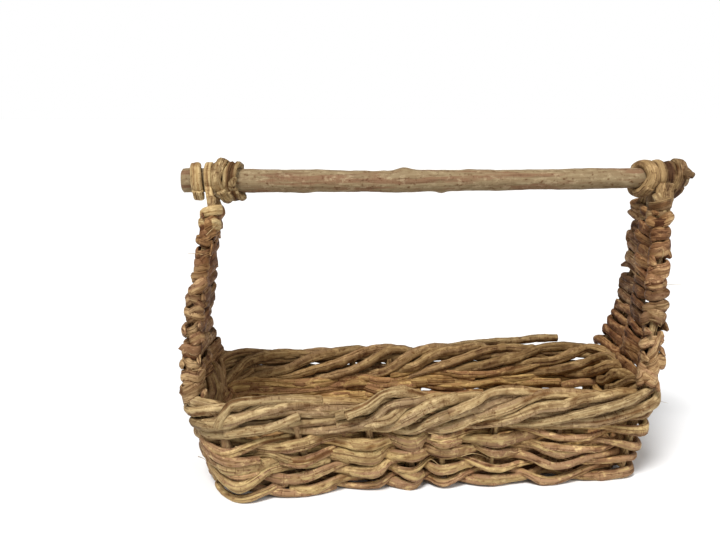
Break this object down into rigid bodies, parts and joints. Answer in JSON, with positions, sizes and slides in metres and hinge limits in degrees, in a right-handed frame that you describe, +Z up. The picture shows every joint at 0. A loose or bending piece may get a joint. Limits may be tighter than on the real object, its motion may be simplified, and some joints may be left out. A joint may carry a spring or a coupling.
{
  "type": "wicker log basket",
  "caption": "Rustic rectangular log basket of woven vine rods with a flared tub, woven end panels and a straight wooden pole handle lashed across the top.",
  "frame": {"origin": "on the ground, at the middle of the whole basket's box", "axes": "+X along the handle, +Y across the basket away from the front wall, +Z up"},
  "size_m": [0.5602, 0.209, 0.3455],
  "materials": {
    "weaver_rods": "dry split vine, rough and streaked",
    "border_rods": "dry vine, partly barked, rough",
    "stake_rods": "dry vine, rough",
    "panel_cane": "flat split vine, satin to rough",
    "lashing_cane": "split cane, satin",
    "pole_wood": "weathered branch with patches of bark"
  },
  "bodies": {
    "root": {"border_1_back": "border_rods", "border_1_front": "border_rods", "border_1_left": "border_rods", "border_1_right": "border_rods", "border_2_back": "border_rods", "border_2_front": "border_rods", "border_2_left": "border_rods", "border_2_right": "border_rods", "floor_rod_1": "weaver_rods", "floor_rod_2": "weaver_rods", "floor_rod_3": "weaver_rods", "floor_rod_4": "weaver_rods", "floor_rod_5": "weaver_rods", "foot_back": "weaver_rods", "foot_front": "weaver_rods", "foot_left": "weaver_rods", "foot_right": "weaver_rods", "handle_pole": "pole_wood", "left_lashing_1": "lashing_cane", "left_lashing_2": "lashing_cane", "left_lashing_3": "lashing_cane", "left_lashing_4": "lashing_cane", "left_panel_weave": "panel_cane", "left_short_stake_back": "stake_rods", "left_short_stake_front": "stake_rods", "left_upright_back": "stake_rods", "left_upright_front": "stake_rods", "left_upright_middle": "stake_rods", "rib_1": "stake_rods", "rib_2": "stake_rods", "rib_3": "stake_rods", "rib_4": "stake_rods", "rib_5": "stake_rods", "rib_6": "stake_rods", "right_lashing_1": "lashing_cane", "right_lashing_2": "lashing_cane", "right_lashing_3": "lashing_cane", "right_lashing_4": "lashing_cane", "right_panel_weave": "panel_cane", "right_short_stake_back": "stake_rods", "right_short_stake_front": "stake_rods", "right_upright_back": "stake_rods", "right_upright_front": "stake_rods", "right_upright_middle": "stake_rods", "weaver_1_back": "weaver_rods", "weaver_1_front": "weaver_rods", "weaver_1_left": "weaver_rods", "weaver_1_right": "weaver_rods", "weaver_2_back": "weaver_rods", "weaver_2_front": "weaver_rods", "weaver_2_left": "weaver_rods", "weaver_2_right": "weaver_rods", "weaver_3_back": "weaver_rods", "weaver_3_front": "weaver_rods", "weaver_3_left": "weaver_rods", "weaver_3_right": "weaver_rods", "weaver_4_back": "weaver_rods", "weaver_4_front": "weaver_rods", "weaver_4_left": "weaver_rods", "weaver_4_right": "weaver_rods"}
  },
  "joints": []
}
